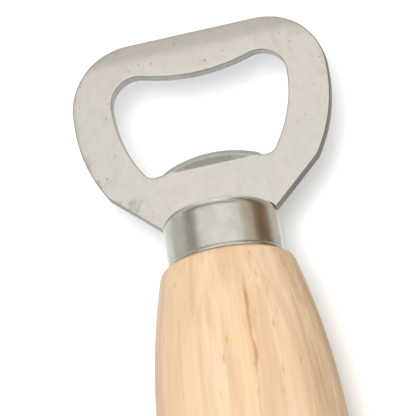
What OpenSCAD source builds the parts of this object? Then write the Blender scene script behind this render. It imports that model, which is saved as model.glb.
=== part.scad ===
// Bottle opener: a stamped steel head on a turned wooden handle.
// It lies on its back: handle along Y, head towards +Y, the head's front face up.
// Lengths along the handle are counted from the ferrule's closed top, towards the head.

/* [Head plate] */
// Width of the head across its widest line
head_w = 42; // [38:0.5:46]
// Height of the head above the ferrule's top
head_h = 31.4; // [30.5:0.1:34]
// Thickness of the sheet
plate_t = 2; // [1.5:0.1:2]
// Radius of the two top corners
corner_r = 10.5; // [8:0.5:11]
// Height of the widest line above the ferrule's top
widest_y = 19.5; // [18.5:0.5:20]
// Radius of the long side curves below the widest line
side_r = 25; // [24:0.5:27]
// Slope of the two lower edges that run in to the ferrule
lower_slope = 42.5; // [41:0.5:44]
// Height of the strip along the top edge that is pressed back
top_strip_h = 3.6; // [2:0.2:4]
// Angle that the top strip is pressed back by
top_strip_angle = 6; // [0:1:8]

/* [Cap opening] */
// Radius of the two rounded upper lobes
lobe_r = 4.4; // [4:0.1:4.6]
// Distance of each lobe's centre from the middle
lobe_x = 10.1; // [9.5:0.1:10.2]
// Height of the lobe centres above the ferrule's top
lobe_y = 21.2; // [21:0.1:21.6]
// How far the middle of the top bar dips between the lobes
dip_h = 1.5; // [1:0.1:2]
// Radius of the opening's two side curves
opening_side_r = 22.4; // [22:0.2:24]
// Height of the opening's bottom edge, where the lip is folded
fold_y = 8; // [7.5:0.1:8.5]
// Radius of the opening's two bottom corners
bottom_r = 1.6; // [1.2:0.1:1.8]

/* [Lifting lip] */
// Half the length of the fold
lip_half_w = 8.4; // [8:0.1:8.6]
// Height of the crescent at its middle
lip_h = 1.6; // [1.2:0.1:2]
// Angle that the lip is folded up by
lip_angle = 34; // [30:1:45]

/* [Tang] */
// Width of the tang that is buried in the handle
tang_w = 12; // [10:0.5:12]
// Length of the tang below the ferrule's top
tang_l = 24; // [18:1:30]
// Chamfer on the two corners of the tang's end
tang_chamfer = 1.5; // [0.5:0.5:3]

/* [Ferrule] */
// Outside diameter of the ferrule
ferrule_d = 18.4; // [18.2:0.1:18.6]
// Length of the ferrule
ferrule_l = 8.85; // [8:0.05:10]
// Wall thickness of the drawn cup
ferrule_wall = 0.6; // [0.5:0.1:0.8]
// Outside radius of the rounded shoulder
shoulder_r = 1.8; // [1.2:0.1:2]
// Radius of the rolled bead at the open rim
bead_r = 0.45; // [0.4:0.05:0.5]
// How far the bead stands out from the wall
bead_proud = 0.3; // [0.1:0.05:0.35]

/* [Handle] */
// Diameter of the straight grip, the thickest part of the handle
handle_d = 29.8; // [28:0.2:32]
// Distance from the ferrule's top to the start of the grip
grip_start_y = 41; // [38:1:45]
// Distance from the ferrule's top to the end of the grip
grip_end_y = 84; // [75:1:90]
// Distance from the ferrule's top to the handle's end
handle_end_y = 119; // [112:1:125]
// Profile radius from the grip towards the ferrule
fore_r = 121; // [115:1:150]
// Profile radius from the grip towards the end
aft_r = 240; // [180:10:400]
// Radius of the handle's edge beside the ferrule
fore_edge_r = 1.3; // [0.8:0.1:1.6]
// Radius of the rounded end
end_edge_r = 7; // [4:0.5:8]

/* [Fit] */
// Gap between the parts that are pushed together
gap = 0.05; // [0.02:0.01:0.1]
// Thickness of the glue around the tang
glue_t = 0.4; // [0.2:0.1:0.6]

/* [Hidden] */
$fn = 128;
long_curve_fn = 1200;
half_t = plate_t / 2;
axis_z = handle_d / 2;
middle_y = (handle_end_y - head_h) / 2;
ferrule_r = ferrule_d / 2;
shoulder_x = ferrule_r - shoulder_r;
cup_inner_r = ferrule_r - ferrule_wall;
tenon_r = cup_inner_r - gap;
tenon_chamfer = shoulder_r;
tenon_top = -ferrule_wall - gap;
slot_w = tang_w + 2 * glue_t;
slot_t = plate_t + 2 * glue_t;
slot_l = tang_l + glue_t;

// How far a cutting shape runs past what it cuts
cut_past = 1;
// Thickness of the raw blanks that are cut back to the sheet's profile
blank_t = 4 * plate_t;

// Lower corners of the head, where each side curve meets its lower edge
knee_angle = 32.5;
knee_x = head_w / 2 - side_r + side_r * cos(knee_angle);
knee_y = widest_y - side_r * sin(knee_angle);
lower_run = knee_x - shoulder_x;
lower_drop = lower_run * tan(lower_slope);

// The dip in the top bar is an arc, a little flatter than one that only touches both lobes
dip_flatten = 1.02;
dip_y = lobe_y + lobe_r - dip_h;
dip_rise = lobe_r - dip_h;
dip_touching_r = (pow(lobe_x, 2) + pow(dip_rise, 2) - pow(lobe_r, 2)) / (2 * dip_h);
dip_r = dip_flatten * dip_touching_r;
touch_x = lobe_x * dip_r / (dip_r + lobe_r);
touch_y = lobe_y + (dip_y + dip_r - lobe_y) * lobe_r / (dip_r + lobe_r);

// Each side curve of the opening touches a lobe and a bottom corner
opening_side_x = lobe_x + lobe_r - opening_side_r;
bottom_y = fold_y + bottom_r;
bottom_x = opening_side_x + sqrt(pow(opening_side_r - bottom_r, 2) - pow(lobe_y - bottom_y, 2));

// The lip's free edge is an arc that is still a little above the fold at its two ends
lip_end_h = 0.2;
lip_rise = lip_h - lip_end_h;
lip_r = (pow(lip_half_w, 2) + pow(lip_rise, 2)) / (2 * lip_rise);

// The handle's edges touch its long profile curves, and those touch the straight grip
wood_top_y = -ferrule_l - gap;
fore_x = handle_d / 2 - fore_r;
aft_x = handle_d / 2 - aft_r;
fore_edge_y = wood_top_y - fore_edge_r;
fore_edge_x = fore_x + sqrt(pow(fore_r - fore_edge_r, 2) - pow(grip_start_y + fore_edge_y, 2));
fore_touch_y = fore_edge_y + fore_edge_r * (grip_start_y + fore_edge_y) / (fore_r - fore_edge_r);
end_edge_y = end_edge_r - handle_end_y;
end_edge_x = aft_x + sqrt(pow(aft_r - end_edge_r, 2) - pow(grip_end_y + end_edge_y, 2));
end_touch_y = end_edge_y + end_edge_r * (grip_end_y + end_edge_y) / (aft_r - end_edge_r);

// Puts a part drawn around the handle's axis in its place on the ground
module lay() {
    translate([0, middle_y, axis_z]) children();
}

// Turns a half profile, drawn as radius and height, about the handle's axis
module turned() {
    rotate([-90, 0, 0]) rotate_extrude() children();
}

module mirrored() {
    children();
    mirror([1, 0, 0]) children();
}

// Rectangle from its lower and upper corners
module span(low, high) {
    translate(low) square(high - low);
}

// Outline of the head, with the two lower edges run on into the ferrule
module head_outline() {
    corner_x = head_w / 2 - corner_r;
    corner_y = head_h - corner_r;
    span([-corner_x, widest_y], [corner_x, head_h]);
    span([-head_w / 2, widest_y], [head_w / 2, corner_y]);
    mirrored() translate([corner_x, corner_y]) circle(corner_r);
    intersection() {
        translate([head_w / 2 - side_r, widest_y]) circle(side_r);
        translate([side_r - head_w / 2, widest_y]) circle(side_r);
        polygon([
            [-head_w / 2, corner_y], [-head_w / 2, knee_y],
            [-knee_x, knee_y], [-shoulder_x, knee_y - lower_drop],
            [shoulder_x, knee_y - lower_drop], [knee_x, knee_y],
            [head_w / 2, knee_y], [head_w / 2, corner_y]
        ]);
    }
}

// Outside of the ferrule seen from the front, grown by a margin
module ferrule_shadow(margin) {
    reach = shoulder_r + margin;
    span([-shoulder_x, -ferrule_l], [shoulder_x, margin]);
    span([-ferrule_r - margin, -ferrule_l], [ferrule_r + margin, -shoulder_r]);
    mirrored() translate([shoulder_x, -shoulder_r]) circle(reach);
}

module cap_opening() {
    mirrored() translate([lobe_x, lobe_y]) circle(lobe_r);
    difference() {
        span([-touch_x, lobe_y - lobe_r], [touch_x, touch_y]);
        translate([0, dip_y + dip_r]) circle(dip_r);
    }
    intersection() {
        translate([opening_side_x, lobe_y]) circle(opening_side_r);
        translate([-opening_side_x, lobe_y]) circle(opening_side_r);
        span([-head_w / 2, bottom_y], [head_w / 2, lobe_y]);
    }
    span([-bottom_x, fold_y], [bottom_x, bottom_y]);
    mirrored() translate([bottom_x, bottom_y]) circle(bottom_r);
}

module tang_outline() {
    polygon([
        [-tang_w / 2, shoulder_r], [-tang_w / 2, tang_chamfer - tang_l],
        [tang_chamfer - tang_w / 2, -tang_l], [tang_w / 2 - tang_chamfer, -tang_l],
        [tang_w / 2, tang_chamfer - tang_l], [tang_w / 2, shoulder_r]
    ]);
}

// Side view of the sheet, drawn as height along the head and depth
module sheet_profile() {
    bend_y = head_h - top_strip_h;
    run = 2 * top_strip_h;
    back = run * tan(top_strip_angle);
    polygon([
        [-tang_l - cut_past, half_t], [bend_y, half_t], [bend_y + run, half_t - back],
        [bend_y + run, -half_t - back], [bend_y, -half_t], [-tang_l - cut_past, -half_t]
    ]);
}

// Side view of the folded lip, with its fold at the front edge of the opening's bottom
module lip_profile() {
    back_dir = [sin(lip_angle), -cos(lip_angle)];
    span([-plate_t, -plate_t], [0, 0]);
    intersection() {
        circle(plate_t);
        polygon([[0, 0], [0, -2 * plate_t], 2 * plate_t * back_dir]);
    }
    rotate(lip_angle) span([0, -plate_t], [2 * lip_h, 0]);
}

// Crescent lip: the folded sheet, cut square to its own face along an arc
module lip() {
    translate([0, fold_y, half_t]) intersection() {
        rotate([90, 0, 90]) linear_extrude(2 * lip_half_w, center = true) lip_profile();
        rotate([lip_angle, 0, 0]) translate([0, lip_h - lip_r, 0])
            cylinder(r = lip_r, h = blank_t, center = true, $fn = long_curve_fn);
    }
}

module head_plate() {
    color("#d5cec3") lay() {
        intersection() {
            linear_extrude(blank_t, center = true) union() {
                difference() {
                    head_outline();
                    cap_opening();
                    ferrule_shadow(gap);
                }
                tang_outline();
            }
            rotate([90, 0, 90]) linear_extrude(2 * head_w, center = true) sheet_profile();
        }
        lip();
    }
}

// Half profile of the cup's outside, or of its inside one wall further in
module cup_profile(inset) {
    span([0, -ferrule_l], [ferrule_r - inset, -shoulder_r]);
    span([0, -shoulder_r], [shoulder_x, -inset]);
    translate([shoulder_x, -shoulder_r]) circle(shoulder_r - inset);
}

module ferrule() {
    color("#c9c8be") lay() difference() {
        turned() difference() {
            union() {
                cup_profile(0);
                translate([ferrule_r + bead_proud - bead_r, bead_r - ferrule_l]) circle(bead_r);
            }
            cup_profile(ferrule_wall);
        }
        translate([0, -ferrule_wall / 2, 0])
            cube([tang_w + 2 * gap, 2 * ferrule_wall, plate_t + 2 * gap], center = true);
    }
}

// Half profile of the turned wood below the tenon: a core, then edge, long curves and rounded end
module handle_profile() {
    span([0, -handle_end_y], [end_edge_x, wood_top_y]);
    span([0, fore_edge_y], [fore_edge_x, wood_top_y]);
    translate([fore_edge_x, fore_edge_y]) circle(fore_edge_r);
    intersection() {
        translate([fore_x, -grip_start_y]) circle(fore_r, $fn = long_curve_fn);
        span([0, -grip_start_y], [handle_d / 2, fore_touch_y]);
    }
    span([0, -grip_end_y], [handle_d / 2, -grip_start_y]);
    intersection() {
        translate([aft_x, -grip_end_y]) circle(aft_r, $fn = long_curve_fn);
        span([0, end_touch_y], [handle_d / 2, -grip_end_y]);
    }
    intersection() {
        translate([end_edge_x, end_edge_y]) circle(end_edge_r);
        span([0, -handle_end_y], [handle_d / 2, end_touch_y]);
    }
}

// Round spigot that fills the ferrule
module tenon() {
    rotate([-90, 0, 0]) {
        translate([0, 0, fore_edge_y]) cylinder(r = tenon_r, h = tenon_top - tenon_chamfer - fore_edge_y);
        translate([0, 0, tenon_top - tenon_chamfer])
            cylinder(r1 = tenon_r, r2 = tenon_r - tenon_chamfer, h = tenon_chamfer);
    }
}

// Box from the bottom of the slot in the wood up to a given height
module slot_body(top) {
    translate([-slot_w / 2, -slot_l, -slot_t / 2])
        cube([slot_w, slot_l + top, slot_t]);
}

module handle() {
    color("#f3d3a8") lay() difference() {
        union() {
            turned() handle_profile();
            tenon();
        }
        slot_body(tenon_top + cut_past);
    }
}

module tang_adhesive() {
    color("#e0d9a0") lay() difference() {
        slot_body(tenon_top);
        translate([0, 0, -half_t]) linear_extrude(plate_t) tang_outline();
    }
}

head_plate();
ferrule();
handle();
tang_adhesive();
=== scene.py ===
import math

import bpy
import numpy as np
from mathutils import Matrix, Vector
from mathutils.geometry import delaunay_2d_cdt
from mathutils.kdtree import KDTree


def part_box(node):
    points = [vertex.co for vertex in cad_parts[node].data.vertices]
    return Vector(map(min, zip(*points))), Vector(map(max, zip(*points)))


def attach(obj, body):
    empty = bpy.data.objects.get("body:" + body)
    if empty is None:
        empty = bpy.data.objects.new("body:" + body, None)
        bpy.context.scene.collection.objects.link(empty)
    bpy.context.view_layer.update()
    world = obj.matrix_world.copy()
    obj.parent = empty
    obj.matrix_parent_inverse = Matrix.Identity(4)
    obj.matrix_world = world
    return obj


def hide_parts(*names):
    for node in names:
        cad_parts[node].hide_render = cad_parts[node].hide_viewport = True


# A bottle opener lying on its back: handle along Y, head towards +Y, front face up.
# Shapes are drawn in millimetres as (across, along), where along is counted from the
# ferrule's closed top towards the head, and are then laid down in the frame in metres.

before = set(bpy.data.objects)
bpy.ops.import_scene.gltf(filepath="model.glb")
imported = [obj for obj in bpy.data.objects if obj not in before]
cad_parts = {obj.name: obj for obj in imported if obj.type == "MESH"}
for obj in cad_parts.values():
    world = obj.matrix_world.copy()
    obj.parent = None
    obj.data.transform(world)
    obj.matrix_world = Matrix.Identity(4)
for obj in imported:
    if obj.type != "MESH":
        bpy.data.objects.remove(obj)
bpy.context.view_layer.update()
MM = 0.001

# ---------------------------------------------------------------- sizes from the frame

plate_low, plate_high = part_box("head_plate")
ferrule_low, ferrule_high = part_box("ferrule")
handle_low, handle_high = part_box("handle")
glue_low, glue_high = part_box("tang_adhesive")

HALF_T = 1.0             # half the sheet's thickness
STRIP_ANGLE = -6.0       # strip along the top edge, pressed back
# how far the tilt carries the strip's front face past the head's flat height
STRIP_SWING = -HALF_T * math.sin(math.radians(STRIP_ANGLE))

AXIS_Z = (handle_low.z + handle_high.z) / 2 / MM
TOP_Y = ferrule_high.y / MM
HEAD_HALF_W = plate_high.x / MM
HEAD_H = plate_high.y / MM - TOP_Y - STRIP_SWING
TANG_L = TOP_Y - plate_low.y / MM
FERRULE_L = TOP_Y - ferrule_low.y / MM
BEAD_OUT_R = ferrule_high.x / MM
HANDLE_R = handle_high.x / MM
HANDLE_END = TOP_Y - handle_low.y / MM
TENON_TOP = handle_high.y / MM - TOP_Y
SLOT_HALF_W = glue_high.x / MM
SLOT_HALF_T = (glue_high.z - glue_low.z) / 2 / MM
SLOT_L = TOP_Y - glue_low.y / MM

# ---------------------------------------------------------------- sizes of the design

CORNER_R = 10.5
WIDEST = 19.5            # height of the head's widest place
SIDE_R = 25.0
KNEE_ANGLE = -32.5       # where the side curve turns into the straight lower edge
LOWER_SLOPE = 42.5
STRIP_H = 3.6
STRIP_BEND_R = 12.0
LOBE_R = 4.4
LOBE_X = 10.1
LOBE_Y = 21.2
DIP_H = 1.5              # depth of the dip between the two lobes
OPENING_SIDE_R = 22.4
FOLD_Y = 8.0             # height of the lip's foot
FOLD_LEAD = 0.05         # the bend starts this far below the foot
FOLD_ZONE = 6.0          # only what is nearer the foot than this, or below it, bends with the lip
BOTTOM_R = 1.6
LIP_HALF_W = 8.9
LIP_EASE_IN = 0.4        # the fold fades out from this far inside the lip's ends
LIP_EASE_OUT = 0.6       # to this far outside them
LIP_H = 2.15             # height of the crescent before it is folded
LIP_ANGLE = 34.0
LIP_BEND_R = 1.15
TANG_HALF_W = 6.0
TANG_CHAMFER = 1.5
FRONT_ROUND = 0.22       # rolled-over edge on the punch side
BACK_ROUND = 0.10        # burr side
FRONT_ROWS = 4           # rows of faces down the front rounding, the wall and the back rounding
WALL_ROWS = 6
BACK_ROWS = 2
FERRULE_R = 9.2
FERRULE_WALL = 0.6
SHOULDER_R = 1.8
TOP_FLAT = 0.3           # width of the ring of top between the shoulder and the cap's flat middle
BEAD_R = 0.45
BEAD_ARC = (60, -90)     # the part of the bead's circle that is outside the cup's wall
BEAD_POINTS = 14
BEAD_FOOT = 0.75         # the wall turns into the groove this far above the bead's centre
BEAD_GROOVE = [(0.04, 0.55), (0.03, 0.42)]  # (depth, height above the bead's centre)
RIM_CHAMFER = 0.1
FORE_R = 121.0
AFT_R = 240.0
GRIP_START = 41.0
GRIP_END = 84.0
FORE_EDGE_R = 1.3
END_EDGE_R = 7.0
GAP = 0.05
STEP = 0.35              # spacing of points along an outline
FACE_SPACING = 0.55      # spacing of points inside the head's faces
END_SPACING = 0.8        # spacing of points inside the handle's end
TURNS = 200              # points round a lathed ring


# ---------------------------------------------------------------- outlines

def arc(centre, radius, start, end):
    """Points on an arc, in degrees, both ends included."""
    count = max(2, round(abs(math.radians(end - start)) * radius / STEP))
    turn = [math.radians(start + (end - start) * i / count) for i in range(count + 1)]
    return [(centre[0] + radius * math.cos(a), centre[1] + radius * math.sin(a)) for a in turn]


def straight(start, end):
    count = max(1, round(math.dist(start, end) / STEP))
    return [
        (start[0] + (end[0] - start[0]) * i / count, start[1] + (end[1] - start[1]) * i / count)
        for i in range(count + 1)
    ]


def chain(*runs):
    """Joins runs of points end to end, leaving out the repeated ends."""
    points = []
    for run in runs:
        for p in run:
            if not points or math.dist(points[-1], p) > 0.02:
                points.append(p)
    return points


def both_sides(half):
    """Closed outline from its right half, which starts and ends on the middle line."""
    left = [(-x, y) for x, y in reversed(half) if x > 1e-6]
    return half + left


def angle_from(centre, point):
    return math.degrees(math.atan2(point[1] - centre[1], point[0] - centre[0]))


def head_outline():
    corner = (HEAD_HALF_W - CORNER_R, HEAD_H - CORNER_R)
    side = (HEAD_HALF_W - SIDE_R, WIDEST)
    knee = arc(side, SIDE_R, 0, KNEE_ANGLE)[-1]
    shoulder = (FERRULE_R - SHOULDER_R, -SHOULDER_R)
    reach = SHOULDER_R + GAP
    # the lower edge runs in until it meets the ferrule's rounded shoulder
    way = Vector((-math.cos(math.radians(LOWER_SLOPE)), -math.sin(math.radians(LOWER_SLOPE))))
    to_knee = Vector(knee) - Vector(shoulder)
    along = to_knee.dot(way)
    tip = Vector(knee) + way * (-along - math.sqrt(along ** 2 - to_knee.length_squared + reach ** 2))
    return both_sides(chain(
        straight((0, HEAD_H), (corner[0], HEAD_H)),
        arc(corner, CORNER_R, 90, 0),
        straight((HEAD_HALF_W, corner[1]), (HEAD_HALF_W, WIDEST)),
        arc(side, SIDE_R, 0, KNEE_ANGLE),
        straight(knee, tuple(tip)),
        arc(shoulder, reach, angle_from(shoulder, tip), 90),
        straight((shoulder[0], GAP), (TANG_HALF_W, GAP)),
        straight((TANG_HALF_W, GAP), (TANG_HALF_W, TANG_CHAMFER - TANG_L)),
        straight((TANG_HALF_W, TANG_CHAMFER - TANG_L), (TANG_HALF_W - TANG_CHAMFER, -TANG_L)),
        straight((TANG_HALF_W - TANG_CHAMFER, -TANG_L), (0, -TANG_L)),
    ))


def opening_outline():
    """The cap opening, with the lip still flat in it."""
    lobe = (LOBE_X, LOBE_Y)
    rise = LOBE_R - DIP_H
    dip_r = (LOBE_X ** 2 + rise ** 2 - LOBE_R ** 2) / (2 * DIP_H)
    dip = (0, LOBE_Y + rise + dip_r)
    side = (LOBE_X + LOBE_R - OPENING_SIDE_R, LOBE_Y)
    bottom_y = FOLD_Y + BOTTOM_R
    reach = OPENING_SIDE_R - BOTTOM_R
    bottom = (side[0] + math.sqrt(reach ** 2 - (LOBE_Y - bottom_y) ** 2), bottom_y)
    lip_r = (LIP_HALF_W ** 2 + LIP_H ** 2) / (2 * LIP_H)
    lip = (0, FOLD_Y + LIP_H - lip_r)
    touch = angle_from(dip, lobe)
    return both_sides(chain(
        arc(dip, dip_r, -90, touch),
        arc(lobe, LOBE_R, touch + 180, 0),
        arc(side, OPENING_SIDE_R, 0, angle_from(side, bottom)),
        arc(bottom, BOTTOM_R, angle_from(side, bottom), -90),
        straight((bottom[0], FOLD_Y), (LIP_HALF_W, FOLD_Y)),
        arc(lip, lip_r, angle_from(lip, (LIP_HALF_W, FOLD_Y)), 90),
    ))


def offset(outline, distance):
    """Moves a closed clockwise outline to its right, which is inwards for the head's outside."""
    count = len(outline)
    moved = []
    for i, (x, y) in enumerate(outline):
        back, ahead = Vector(outline[i - 1]), Vector(outline[(i + 1) % count])
        here = Vector((x, y))
        first, second = (here - back).normalized(), (ahead - here).normalized()
        way = (first + second).normalized()
        normal = Vector((way.y, -way.x))
        stretch = 1 / max(0.5, way.dot(first))
        moved.append(tuple(here + normal * distance * stretch))
    return moved


# ---------------------------------------------------------------- mesh helpers

def laid(across, along, up):
    """A point in millimetres about the handle's axis, put in the frame."""
    return Vector((across, along + TOP_Y, up + AXIS_Z)) * MM


def within(points, loops):
    """For each point, whether an odd number of the closed loops goes round it."""
    x, y = np.array(points, float).reshape(-1, 2).T
    odd = np.zeros(len(x), bool)
    for loop in loops:
        for (x1, y1), (x2, y2) in zip(loop, loop[1:] + loop[:1]):
            spans = (y1 > y) != (y2 > y)
            if y1 != y2:
                odd ^= spans & (x < x1 + (y - y1) * (x2 - x1) / (y2 - y1))
    return odd


def filled(loops, spacing=None):
    """Triangles between closed loops of flat points, with loose points inside if spaced."""
    points, edges = [], []
    for loop in loops:
        first = len(points)
        points += [Vector(p) for p in loop]
        edges += [(first + i, first + (i + 1) % len(loop)) for i in range(len(loop))]
    if spacing:
        near = KDTree(len(points))
        for i, p in enumerate(points):
            near.insert((p.x, p.y, 0), i)
        near.balance()
        low_x, high_x = min(p.x for p in points), max(p.x for p in points)
        low_y, high_y = min(p.y for p in points), max(p.y for p in points)
        for row in range(1, int((high_y - low_y) / spacing) + 1):
            for column in range(int((high_x - low_x) / spacing) + 1):
                x, y = low_x + (column + row % 2 / 2) * spacing, low_y + row * spacing
                if near.find((x, y, 0))[2] > spacing * 0.6:
                    points.append(Vector((x, y)))
    places, _, triangles, sources, _, _ = delaunay_2d_cdt(points, edges, [], 1, 1e-5)
    middles = [sum((places[i] for i in t), Vector((0, 0))) / 3 for t in triangles]
    kept = [t for t, inside in zip(triangles, within(middles, loops)) if inside]
    return places, sources, kept


class Builder:
    """Collects vertices and faces, with one number per vertex for each attribute."""

    def __init__(self, *attributes):
        self.points, self.faces = [], []
        self.values = {name: [] for name in attributes}

    def add(self, point, **values):
        self.points.append(point)
        for name, store in self.values.items():
            store.append(values.get(name, 0.0))
        return len(self.points) - 1

    def ring_faces(self, first, second):
        count = len(first)
        for i in range(count):
            j = (i + 1) % count
            self.faces.append((first[i], first[j], second[j], second[i]))

    def cap(self, rings, flat, place, up, spacing=None, **values):
        """Fills between rings of vertex numbers, whose flat points are given."""
        places, sources, triangles = filled(flat, spacing)
        known = [v for ring in rings for v in ring]
        numbers = {}
        for t in triangles:
            for i in t:
                if i not in numbers:
                    old = [s for s in sources[i] if s < len(known)]
                    p = places[i]
                    numbers[i] = known[old[0]] if old else self.add(place(p.x, p.y), **values)
            self.faces.append(tuple(numbers[i] for i in (t if up else reversed(t))))

    def finish(self, name, material, body="root"):
        mesh = bpy.data.meshes.new(name)
        mesh.from_pydata([tuple(p) for p in self.points], [], self.faces)
        for attribute, store in self.values.items():
            layer = mesh.attributes.new(attribute, "FLOAT", "POINT")
            layer.data.foreach_set("value", store)
        mesh.validate()
        mesh.materials.append(material)
        mesh.shade_smooth()
        piece = bpy.data.objects.new(name, mesh)
        bpy.context.scene.collection.objects.link(piece)
        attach(piece, body)
        return piece


# ---------------------------------------------------------------- pieces

def curled(along, up, start, angle, radius):
    """Bends a flat strip that runs along past start: an arc first, then straight on."""
    run = along - start
    if run <= 0 or abs(angle) < 1e-4:
        return along, up
    sign = math.copysign(1, angle)
    turn = min(run / radius, abs(angle))
    left = run - turn * radius
    flat_y = start + radius * math.sin(turn) + left * math.cos(turn)
    flat_z = sign * (radius * (1 - math.cos(turn)) + left * math.sin(turn))
    return flat_y - sign * up * math.sin(turn), flat_z + up * math.cos(turn)


def smooth_step(low, high, value):
    t = min(1, max(0, (value - low) / (high - low)))
    return t * t * (3 - 2 * t)


def head_point(across, along, up):
    """A point of the flat sheet after the lip and the top strip are pressed."""
    if along > FOLD_Y + FOLD_ZONE:
        along, up = curled(
            along, up, HEAD_H - STRIP_H, math.radians(STRIP_ANGLE), STRIP_BEND_R)
    else:
        hold = 1 - smooth_step(LIP_HALF_W - LIP_EASE_IN, LIP_HALF_W + LIP_EASE_OUT, abs(across))
        if hold > 0.01:
            along, up = curled(
                along, up, FOLD_Y - FOLD_LEAD, math.radians(LIP_ANGLE) * hold, LIP_BEND_R / hold)
    return laid(across, along, up)


def edge_profile():
    """(inset, up, cut) down a stamped edge, from the front face to the back face."""
    wall_top, wall_low = HALF_T - FRONT_ROUND, BACK_ROUND - HALF_T
    rows = []
    for i in range(FRONT_ROWS + 1):
        a = math.radians(90 * i / FRONT_ROWS)
        inset, drop = FRONT_ROUND * (1 - math.sin(a)), FRONT_ROUND * (1 - math.cos(a))
        rows.append((inset, HALF_T - drop, i / FRONT_ROWS))
    for i in range(1, WALL_ROWS):
        rows.append((0, wall_top + (wall_low - wall_top) * i / WALL_ROWS, 1))
    for i in range(BACK_ROWS + 1):
        a = math.radians(90 * i / BACK_ROWS)
        inset, drop = BACK_ROUND * (1 - math.cos(a)), BACK_ROUND * math.sin(a)
        rows.append((inset, wall_low - drop, 1 - i / BACK_ROWS))
    return rows


def build_head(material):
    """The sheet, with how far each point is into the cut edge and down through the sheet."""
    made = Builder("cut", "depth")
    caps = {1: [], -1: []}
    for outline, side in ((head_outline(), 1), (opening_outline(), -1)):
        rings = []
        for inset, up, cut in edge_profile():
            flat = offset(outline, side * inset)
            numbers = [
                made.add(head_point(x, y, up), cut=cut, depth=up / HALF_T) for x, y in flat
            ]
            rings.append((numbers, flat))
        for upper, lower in zip(rings, rings[1:]):
            first, second = (upper, lower) if side > 0 else (lower, upper)
            made.ring_faces(first[0], second[0])
        caps[1].append(rings[0])
        caps[-1].append(rings[-1])
    for way, loops in caps.items():
        made.cap(
            [ring for ring, _ in loops], [flat for _, flat in loops],
            lambda x, y, up=way * HALF_T: head_point(x, y, up), way > 0,
            spacing=FACE_SPACING, depth=way)
    return made.finish("head_plate_stamped", material)


def lathe(made, profile):
    """Rings about the handle's axis, from (radius, along) points, with faces between them."""
    rings = []
    for radius, along in profile:
        ring = []
        for i in range(TURNS):
            a = 2 * math.pi * i / TURNS
            ring.append(made.add(laid(radius * math.cos(a), along, radius * math.sin(a))))
        rings.append(ring)
    for first, second in zip(rings, rings[1:]):
        made.ring_faces(first, second)
    return rings


def circle_flat(radius):
    return [
        (radius * math.cos(2 * math.pi * i / TURNS), radius * math.sin(2 * math.pi * i / TURNS))
        for i in range(TURNS)
    ]


def slot_flat(half_w, half_t):
    """Rectangle about the axis, counter-clockwise, with points along its sides."""
    corners = [(half_w, -half_t), (half_w, half_t), (-half_w, half_t), (-half_w, -half_t)]
    return chain(*[straight(corners[i - 1], corners[i]) for i in range(4)])[:-1]


def slot_ring(made, flat, along):
    return [made.add(laid(x, along, z)) for x, z in flat]


def ferrule_profile(top_r):
    """Round the cup's wall: over the shoulder, down to the bead, and back up inside."""
    centre = (FERRULE_R - SHOULDER_R, -SHOULDER_R)
    bead = (BEAD_OUT_R - BEAD_R, BEAD_R - FERRULE_L)
    inner_r = FERRULE_R - FERRULE_WALL
    first, last = BEAD_ARC
    turns = [math.radians(first + (last - first) * i / BEAD_POINTS) for i in range(BEAD_POINTS + 1)]
    return chain(
        [(top_r, 0)],
        arc(centre, SHOULDER_R, 90, 0),
        straight((FERRULE_R, -SHOULDER_R), (FERRULE_R, bead[1] + BEAD_FOOT)),
        [(FERRULE_R - depth, bead[1] + height) for depth, height in BEAD_GROOVE],
        [(bead[0] + BEAD_R * math.cos(a), bead[1] + BEAD_R * math.sin(a)) for a in turns],
        [(inner_r + RIM_CHAMFER, -FERRULE_L), (inner_r, -FERRULE_L + RIM_CHAMFER)],
        straight((inner_r, -FERRULE_L + RIM_CHAMFER), (inner_r, -SHOULDER_R)),
        arc(centre, SHOULDER_R - FERRULE_WALL, 0, 90),
        [(top_r, -FERRULE_WALL)],
    )


def build_ferrule(material):
    made = Builder()
    top_r = FERRULE_R - SHOULDER_R - TOP_FLAT
    rings = lathe(made, ferrule_profile(top_r))
    flat = slot_flat(TANG_HALF_W + GAP, HALF_T + GAP)
    outer_slot = slot_ring(made, flat, 0)
    inner_slot = slot_ring(made, flat, -FERRULE_WALL)
    made.ring_faces(inner_slot, outer_slot)
    made.cap(
        [rings[0], outer_slot], [circle_flat(top_r), flat], lambda x, z: laid(x, 0, z), False)
    made.cap(
        [rings[-1], inner_slot], [circle_flat(top_r), flat],
        lambda x, z: laid(x, -FERRULE_WALL, z), True)
    return made.finish("ferrule_cup", material)


def handle_profile():
    """Down the handle from the tenon's top: a curve out to the grip, the grip, a curve in to the end."""
    tenon_r = FERRULE_R - FERRULE_WALL - GAP
    wood_top = -FERRULE_L - GAP
    fore = (HANDLE_R - FORE_R, -GRIP_START)
    aft = (HANDLE_R - AFT_R, -GRIP_END)
    fore_y = wood_top - FORE_EDGE_R
    fore_reach = math.sqrt((FORE_R - FORE_EDGE_R) ** 2 - (GRIP_START + fore_y) ** 2)
    fore_edge = (fore[0] + fore_reach, fore_y)
    end_y = END_EDGE_R - HANDLE_END
    end_reach = math.sqrt((AFT_R - END_EDGE_R) ** 2 - (GRIP_END + end_y) ** 2)
    end_edge = (aft[0] + end_reach, end_y)
    fore_turn = angle_from(fore, fore_edge)
    end_turn = angle_from(aft, end_edge)
    return chain(
        [(tenon_r - SHOULDER_R, TENON_TOP), (tenon_r, TENON_TOP - SHOULDER_R), (tenon_r, wood_top)],
        arc(fore_edge, FORE_EDGE_R, 90, fore_turn),
        arc(fore, FORE_R, fore_turn, 0),
        arc(aft, AFT_R, 0, end_turn),
        arc(end_edge, END_EDGE_R, end_turn, -90),
    )


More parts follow.
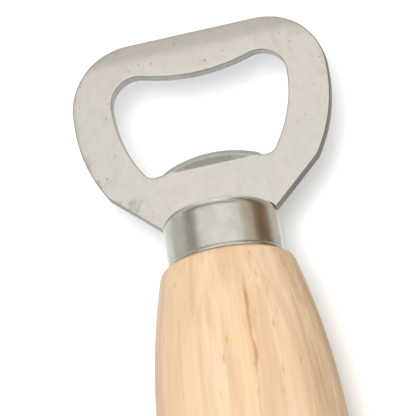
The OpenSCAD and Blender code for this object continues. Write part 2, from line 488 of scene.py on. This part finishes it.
def build_handle(material):
    made = Builder()
    profile = handle_profile()
    rings = lathe(made, profile)
    flat = slot_flat(SLOT_HALF_W, SLOT_HALF_T)
    top_slot = slot_ring(made, flat, TENON_TOP)
    low_slot = slot_ring(made, flat, -SLOT_L)
    made.ring_faces(low_slot, top_slot)
    made.cap(
        [rings[0], top_slot], [circle_flat(profile[0][0]), flat],
        lambda x, z: laid(x, TENON_TOP, z), False)
    made.cap([low_slot], [flat], lambda x, z: laid(x, -SLOT_L, z), False)
    made.cap(
        [rings[-1]], [circle_flat(profile[-1][0])],
        lambda x, z: laid(x, -HANDLE_END, z), True, spacing=END_SPACING)
    return made.finish("handle_turned", material)


# ---------------------------------------------------------------- material nodes

class Look:
    """A node material: add() makes a node, sets its options and inputs, and returns it."""

    def __init__(self, name, **shader):
        self.material = bpy.data.materials.new(name)
        self.material.use_nodes = True
        self.tree = self.material.node_tree
        self.shader = self.tree.nodes["Principled BSDF"]
        for socket, value in shader.items():
            self.shader.inputs[socket.replace("_", " ")].default_value = value
        coordinates = self.add("ShaderNodeTexCoord")
        self.millimetres = self.add(
            "ShaderNodeVectorMath", {0: coordinates.outputs["Object"], 3: 1 / MM},
            operation="SCALE").outputs[0]

    def add(self, kind, inputs=None, **options):
        node = self.tree.nodes.new(kind)
        for name, value in options.items():
            setattr(node, name, value)
        for socket, value in (inputs or {}).items():
            self.put(value, node.inputs[socket])
        return node

    def put(self, value, socket):
        if isinstance(value, bpy.types.NodeSocket):
            self.tree.links.new(value, socket)
        else:
            socket.default_value = value

    def to_shader(self, name, value):
        self.put(value, self.shader.inputs[name])

    def stretched(self, scale, offset=(0, 0, 0), source=None):
        return self.add(
            "ShaderNodeMapping",
            {"Vector": source or self.millimetres, "Scale": scale, "Location": offset}).outputs[0]

    def place(self):
        """Where a surface point is, as (across, along, up from the axis) in millimetres."""
        moved = self.add(
            "ShaderNodeVectorMath", {0: self.millimetres, 1: (0, -TOP_Y, -AXIS_Z)}, operation="ADD")
        return self.add("ShaderNodeSeparateXYZ", {0: moved.outputs[0]}).outputs[:3]

    def weigh(self, first, first_share, second, second_share, start):
        """A sum of two values, each times its share, from a start value."""
        part = self.math("MULTIPLY_ADD", first, first_share, start)
        return self.math("MULTIPLY_ADD", second, second_share, part)

    def noise(self, scale, detail=3.0, roughness=0.5, offset=(0, 0, 0), source=None):
        """Noise in 0 to 1; scale is in cycles per millimetre along each axis."""
        return self.add(
            "ShaderNodeTexNoise",
            {"Vector": self.stretched(scale, offset, source), "Scale": 1.0, "Detail": detail,
             "Roughness": roughness}).outputs[0]

    def ramp(self, value, *stops):
        """Colour ramp; a stop is (position, grey) or (position, (r, g, b))."""
        node = self.add("ShaderNodeValToRGB", {0: value})
        elements = node.color_ramp.elements
        while len(elements) < len(stops):
            elements.new(0.5)
        for element, (position, colour) in zip(elements, stops):
            element.position = position
            grey = not isinstance(colour, tuple)
            element.color = (colour, colour, colour, 1) if grey else (*colour, 1)
        return node.outputs[0]

    def math(self, operation, first, second=0.0, third=0.0):
        return self.add("ShaderNodeMath", {0: first, 1: second, 2: third}, operation=operation).outputs[0]

    def blend(self, amount, first, second):
        node = self.add("ShaderNodeMix", data_type="RGBA")
        self.put(amount, node.inputs[0])
        self.put(first if not isinstance(first, tuple) else (*first, 1), node.inputs[6])
        self.put(second if not isinstance(second, tuple) else (*second, 1), node.inputs[7])
        return node.outputs[2]

    def attribute(self, name):
        return self.add("ShaderNodeAttribute", attribute_name=name).outputs["Fac"]

    def bump(self, height, depth_mm, normal=None):
        node = self.add("ShaderNodeBump", {"Height": height, "Distance": depth_mm * MM, "Strength": 1.0})
        if normal:
            self.put(normal, node.inputs["Normal"])
        return node.outputs[0]


def steel_look():
    """Stamped stainless sheet: fine grain along Y, faint stains and specks, darker sheared edges."""
    look = Look("stamped_steel", Metallic=1.0)
    across, along, _ = look.place()
    grain = look.noise((7, 0.35, 7), detail=4, roughness=0.65)
    mottle = look.noise((0.8, 0.5, 0.8), detail=5, roughness=0.65, offset=(1, 7, 0))
    cloud = look.noise((0.09, 0.07, 0.2), detail=4, roughness=0.6)
    speck = look.ramp(look.noise((1.5, 1.1, 1.5), detail=2), (0.25, 1.0), (0.31, 0.0))
    face = look.ramp(
        cloud, (0.3, (0.845, 0.83, 0.74)), (0.5, (0.885, 0.825, 0.735)), (0.7, (0.91, 0.85, 0.755)))
    face = look.blend(look.ramp(grain, (0.3, 0.0), (0.75, 0.20)), face, (0.68, 0.62, 0.54))
    face = look.blend(look.ramp(mottle, (0.45, 0.0), (0.75, 0.30)), face, (0.71, 0.66, 0.585))
    # tarnish gathers on the lower left rim and on the upper right corner
    low_left = look.ramp(look.weigh(across, -0.075, along, -0.066, 0.33), (0.82, 0.0), (1.08, 1.0))
    high_right = look.ramp(look.weigh(across, 0.035, along, 0.035, -0.35), (0.72, 0.0), (0.95, 0.35))
    blots = look.noise((0.55, 0.36, 0.55), detail=5, roughness=0.65, offset=(4, 2, 0))
    patch = look.ramp(blots, (0.52, 0.0), (0.60, 1.0))
    stain = look.math("MULTIPLY", patch, look.math("MAXIMUM", low_left, high_right))
    face = look.blend(look.math("MULTIPLY", stain, 0.45), face, (0.56, 0.56, 0.47))
    face = look.blend(look.math("MULTIPLY", speck, 0.5), face, (0.36, 0.33, 0.29))
    cut = look.attribute("cut")
    depth = look.attribute("depth")
    streak = look.noise((5, 5, 0.25), detail=3, roughness=0.7, offset=(3, 0, 0))
    sheared = look.ramp(streak, (0.35, (0.24, 0.235, 0.235)), (0.65, (0.42, 0.41, 0.41)))
    band = look.ramp(depth, (0.30, 0.0), (0.42, 1.0))
    sheared = look.blend(look.math("MULTIPLY", band, 0.4), sheared, (0.50, 0.49, 0.48))
    look.to_shader("Base Color", look.blend(cut, face, sheared))
    rough_face = look.math(
        "ADD", look.ramp(mottle, (0.3, 0.28), (0.7, 0.36)), look.math("MULTIPLY", stain, 0.12))
    look.to_shader("Roughness", look.blend(cut, rough_face, look.ramp(streak, (0.3, 0.30), (0.7, 0.48))))
    height = look.math("ADD", grain, look.math("MULTIPLY", speck, -0.8))
    look.to_shader("Normal", look.bump(look.math("ADD", height, mottle), 0.006))
    return look.material


def plating_look():
    """Bright nickel over drawn steel, with faint draw lines, fine orange peel and handling marks."""
    look = Look("nickel_plating", Metallic=1.0)
    lines = look.noise((2.4, 0.12, 2.4), detail=5, roughness=0.7)
    peel = look.noise((4.5, 3.2, 4.5), detail=4, roughness=0.75, offset=(6, 1, 3))
    cloud = look.noise((0.35, 0.3, 0.35), detail=4)
    metal = look.ramp(cloud, (0.35, (0.68, 0.655, 0.575)), (0.65, (0.78, 0.76, 0.69)))
    look.to_shader("Base Color", metal)
    look.to_shader("Roughness", look.ramp(lines, (0.35, 0.14), (0.7, 0.30)))
    rough = look.bump(look.math("ADD", lines, cloud), 0.004)
    look.to_shader("Normal", look.bump(peel, 0.018, rough))
    return look.material


VEIN_X = 5.2             # the wood's one dark vein: its place across, how far it wanders
VEIN_WANDER = 2.2
VEIN_HALF_W = (0.12, 0.34)  # its half width, and how much its blots add to it
FAN_END = -45.0          # the grain stops opening out here
FAN_RATE = 0.006
FAN_TOP = 1.15           # how tight the grain is at the ferrule's top


def wood_look():
    """Pale hardwood turned along the grain: growth bands, soft streaks, short open pores."""
    look = Look("pale_hardwood", IOR=1.45, Coat_Weight=0.10, Coat_Roughness=0.35)
    across, along, up = look.place()
    # the grain opens a little from the ferrule to the grip
    fan = look.math(
        "ADD", look.math("MULTIPLY", look.math("MAXIMUM", along, FAN_END), FAN_RATE), FAN_TOP)
    x, z = look.math("MULTIPLY", across, fan), look.math("MULTIPLY", up, fan)
    grown = look.add("ShaderNodeCombineXYZ", {0: x, 1: along, 2: z}).outputs[0]

    def fibre_noise(scale, **options):
        return look.noise(scale, source=grown, **options)

    broad = fibre_noise((0.14, 0.008, 0.14), detail=3, roughness=0.5, offset=(2, 0, 1))
    streak = fibre_noise((0.55, 0.016, 0.55), detail=4, roughness=0.55, offset=(5, 0, 2))
    fibre = fibre_noise((5.0, 0.16, 5.0), detail=4, roughness=0.7)
    base = look.ramp(
        broad, (0.34, (0.685, 0.52, 0.345)), (0.5, (0.675, 0.492, 0.312)), (0.66, (0.655, 0.46, 0.275)))
    colour = look.blend(look.ramp(streak, (0.46, 0.0), (0.62, 0.70)), base, (0.57, 0.365, 0.225))
    # painted shade: the right flank, away from the light, is darker and olive, in patches, more so
    # towards the right and down; its tight irregular growth lines are the wood's own but are painted
    # stronger under this shade
    side = look.ramp(look.weigh(x, 0.075, z, -0.03, 0.10), (0.50, 0.0), (0.88, 1.0))
    patch = look.ramp(
        fibre_noise((0.30, 0.035, 0.30), detail=4, roughness=0.6, offset=(1, 6, 3)),
        (0.36, 0.2), (0.60, 1.0))
    shade = look.math("MULTIPLY", side, patch)
    colour = look.blend(look.math("MULTIPLY", shade, 0.80), colour, (0.40, 0.28, 0.135))
    lines = look.ramp(
        fibre_noise((1.7, 0.03, 1.7), detail=5, roughness=0.7, offset=(0, 3, 7)),
        (0.50, 0.0), (0.60, 1.0))
    line_share = look.math("MULTIPLY_ADD", side, 0.48, 0.12)
    colour = look.blend(look.math("MULTIPLY", lines, line_share), colour, (0.42, 0.235, 0.105))
    colour = look.blend(look.ramp(fibre, (0.45, 0.0), (0.78, 0.16)), colour, (0.50, 0.33, 0.19))
    # one wandering vein along the upper side, blotched, that fades in below the ferrule
    wander = look.math(
        "MULTIPLY", look.noise((0.0, 0.10, 0.0), detail=5, roughness=0.55, offset=(3, 1, 8)), VEIN_WANDER)
    off_vein = look.math("ABSOLUTE", look.math("SUBTRACT", look.math("ADD", across, wander), VEIN_X))
    blotch = look.ramp(
        look.noise((0.5, 0.16, 0.5), detail=3, offset=(0, 5, 0)), (0.36, 0.0), (0.56, 1.0))
    reach = look.math("MULTIPLY_ADD", blotch, VEIN_HALF_W[1], VEIN_HALF_W[0])
    vein = look.math(
        "MULTIPLY", look.ramp(look.math("DIVIDE", off_vein, reach), (0.2, 1.0), (1.0, 0.0)),
        look.math("MULTIPLY_ADD", blotch, 0.75, 0.25))
    vein = look.math("MULTIPLY", vein, look.ramp(up, (0.2, 0.0), (0.9, 1.0)))
    lower = look.ramp(look.math("MULTIPLY", along, -0.05), (0.68, 0.0), (0.90, 1.0))
    vein = look.math("MULTIPLY", vein, lower)
    colour = look.blend(look.math("MULTIPLY", vein, 0.90), colour, (0.42, 0.205, 0.08))
    cells = look.add(
        "ShaderNodeTexVoronoi",
        {"Vector": look.stretched((0.85, 0.17, 0.85), source=grown), "Scale": 1.0, "Randomness": 1.0},
        feature="F1")
    some = look.ramp(
        fibre_noise((0.22, 0.05, 0.22), detail=1, offset=(9, 4, 0)), (0.50, 0.0), (0.60, 1.0))
    pore = look.math("MULTIPLY", look.ramp(cells.outputs["Distance"], (0.06, 1.0), (0.20, 0.0)), some)
    colour = look.blend(look.math("MULTIPLY", pore, 0.75), colour, (0.44, 0.22, 0.075))
    look.to_shader("Base Color", colour)
    look.to_shader("Roughness", look.ramp(fibre, (0.3, 0.42), (0.7, 0.55)))
    dents = look.math("MAXIMUM", pore, vein)
    height = look.math("SUBTRACT", look.math("MULTIPLY", fibre, 0.5), dents)
    look.to_shader("Normal", look.bump(height, 0.015))
    return look.material


def glue_look():
    """Cured amber epoxy, a little cloudy and uneven."""
    look = Look("cured_epoxy", Roughness=0.25)
    cloud = look.noise((0.4, 0.4, 0.4), detail=3)
    look.to_shader("Base Color", look.ramp(cloud, (0.3, (0.62, 0.52, 0.22)), (0.7, (0.74, 0.66, 0.36))))
    look.to_shader("Normal", look.bump(look.noise((2, 2, 2)), 0.02))
    return look.material


def floor_look():
    look = Look("pale_floor", Roughness=0.9)
    cloud = look.noise((0.01, 0.01, 0.01), detail=2)
    look.to_shader("Base Color", look.ramp(cloud, (0.3, 0.88), (0.7, 0.90)))
    return look.material


def card_look(name, low, high):
    """A studio card, seen only in reflections."""
    look = Look(name, Roughness=1.0)
    cloud = look.noise((0.05, 0.05, 0.05), detail=4, roughness=0.7)
    look.shader.inputs["Specular IOR Level"].default_value = 0.0
    look.to_shader("Base Color", look.ramp(cloud, (0.35, low), (0.65, high)))
    return look.material


# ---------------------------------------------------------------- the object

head = build_head(steel_look())
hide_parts("head_plate")

ferrule = build_ferrule(plating_look())
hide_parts("ferrule")

handle = build_handle(wood_look())
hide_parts("handle")

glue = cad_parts["tang_adhesive"]
glue.data.materials.clear()
glue.data.materials.append(glue_look())

for piece in (head, ferrule):
    crisp = piece.modifiers.new("crisp_faces", "WEIGHTED_NORMAL")
    crisp.keep_sharp = True
    crisp.weight = 100


# ---------------------------------------------------------------- the studio

FLOOR_HALF = 3000        # card and floor places are in millimetres
CARD_Y = (-40, 200)      # the cards beside the ferrule run between these
CARD_LIFT = 0.5          # height of the cards that lie on the floor
LEFT_X, LEFT_FLOOR_X = -60, (-62, -20)
LEFT_SPLIT, LEFT_TOP = 44, 92
RIGHT_X, RIGHT_FLOOR_X = 40, (14, 40)
RIGHT_SPLIT, RIGHT_TOP = 29, 52
KEY_PLACE = (0.03, -0.06, 0.70)  # the key light's place and size are in metres
KEY_TARGET = (0, 0.03, 0)
KEY_SIZE = 0.25
KEY_POWER = 3.3
SKY_COLOUR = (0.98, 0.99, 1.0, 1)
SKY_STRENGTH = 0.885


def flat_panel(name, corners, material):
    mesh = bpy.data.meshes.new(name)
    mesh.from_pydata([tuple(Vector(c) * MM) for c in corners], [], [(0, 1, 2, 3)])
    mesh.materials.append(material)
    panel = bpy.data.objects.new(name, mesh)
    bpy.context.scene.collection.objects.link(panel)
    return panel


def level(x_range, y_range, z):
    """Corners of a level rectangle."""
    (x1, x2), (y1, y2) = x_range, y_range
    return [(x1, y1, z), (x2, y1, z), (x2, y2, z), (x1, y2, z)]


def upright(start, end, low, high):
    """Corners of a rectangle that stands over the line from start to end, between two heights."""
    return [(*start, low), (*end, low), (*end, high), (*start, high)]


def reflected_card(name, corners, material):
    card = flat_panel(name, corners, material)
    card.visible_camera = False
    card.visible_diffuse = False
    card.visible_shadow = False


def card_beside(name, x, low, high, material):
    reflected_card(name, upright((x, CARD_Y[0]), (x, CARD_Y[1]), low, high), material)


def key_light():
    """A softbox above, which lights surfaces but isn't seen in the metal."""
    data = bpy.data.lights.new("overhead_softbox", "AREA")
    data.shape = "RECTANGLE"
    data.size = data.size_y = KEY_SIZE
    data.energy = KEY_POWER
    light = bpy.data.objects.new("overhead_softbox", data)
    light.location = KEY_PLACE
    light.rotation_mode = "QUATERNION"
    light.rotation_quaternion = (Vector(KEY_TARGET) - Vector(KEY_PLACE)).to_track_quat("-Z", "Y")
    light.visible_camera = False
    light.visible_glossy = False
    bpy.context.scene.collection.objects.link(light)


def even_sky():
    world = bpy.data.worlds.new("studio")
    world.use_nodes = True
    background = world.node_tree.nodes["Background"]
    background.inputs["Color"].default_value = SKY_COLOUR
    background.inputs["Strength"].default_value = SKY_STRENGTH
    bpy.context.scene.world = world


flat_panel("floor", level((-FLOOR_HALF, FLOOR_HALF), (-FLOOR_HALF, FLOOR_HALF), 0), floor_look())

# cards that the bright ferrule mirrors: left of it, from the floor up, and right of it
reflected_card(
    "card_left_floor", level(LEFT_FLOOR_X, CARD_Y, CARD_LIFT),
    card_look("pale_card", (0.47, 0.50, 0.53), (0.60, 0.625, 0.65)))
card_beside(
    "card_left_low", LEFT_X, 0, LEFT_SPLIT,
    card_look("olive_card", (0.42, 0.43, 0.39), (0.66, 0.66, 0.61)))
card_beside(
    "card_left_high", LEFT_X, LEFT_SPLIT, LEFT_TOP,
    card_look("charcoal_card", (0.18, 0.175, 0.16), (0.42, 0.41, 0.38)))
card_beside(
    "card_right_low", RIGHT_X, 0, RIGHT_SPLIT,
    card_look("brown_card", (0.11, 0.08, 0.06), (0.36, 0.22, 0.14)))
reflected_card(
    "card_right_floor", level(RIGHT_FLOOR_X, CARD_Y, CARD_LIFT),
    card_look("mauve_card", (0.34, 0.30, 0.28), (0.50, 0.49, 0.485)))
card_beside(
    "card_right_high", RIGHT_X, RIGHT_SPLIT, RIGHT_TOP,
    card_look("tan_card", (0.50, 0.47, 0.38), (0.66, 0.62, 0.52)))
# a dark card that shades the pressed back strip, and one that shades the lip
reflected_card(
    "card_beyond", upright((-330, 235), (220, 235), 110, 285),
    card_look("grey_card", (0.26, 0.255, 0.24), (0.38, 0.37, 0.35)))
reflected_card(
    "card_near", upright((-350, -200), (250, -200), 60, 420),
    card_look("olive_grey_card", (0.17, 0.163, 0.135), (0.27, 0.26, 0.23)))

key_light()
even_sky()
bpy.context.scene.view_settings.view_transform = "Standard"

# ---------------------------------------------------------------- the camera

CAMERA_AZIMUTH = 24.75
CAMERA_ELEVATION = 68.1
CAMERA_ROLL = 35.35
CAMERA_DISTANCE = 0.4897
CAMERA_LENS = 268.0
AIM_ACROSS = -1.65       # where it looks, in millimetres from the ferrule's top
AIM_ALONG = 1.39


def make_camera(aim):
    a, e = math.radians(CAMERA_AZIMUTH), math.radians(CAMERA_ELEVATION)
    back = Vector((math.sin(a) * math.cos(e), -math.cos(a) * math.cos(e), math.sin(e)))
    level_view = (-back).to_track_quat("-Z", "Y")
    data = bpy.data.cameras.new("camera")
    data.lens = CAMERA_LENS
    data.clip_start = 0.01
    camera = bpy.data.objects.new("camera", data)
    camera.rotation_mode = "QUATERNION"
    camera.rotation_quaternion = (
        level_view @ Matrix.Rotation(-math.radians(CAMERA_ROLL), 3, "Z").to_quaternion())
    camera.location = aim + back * CAMERA_DISTANCE
    bpy.context.scene.collection.objects.link(camera)
    bpy.context.scene.camera = camera


make_camera(laid(AIM_ACROSS, AIM_ALONG, 0))
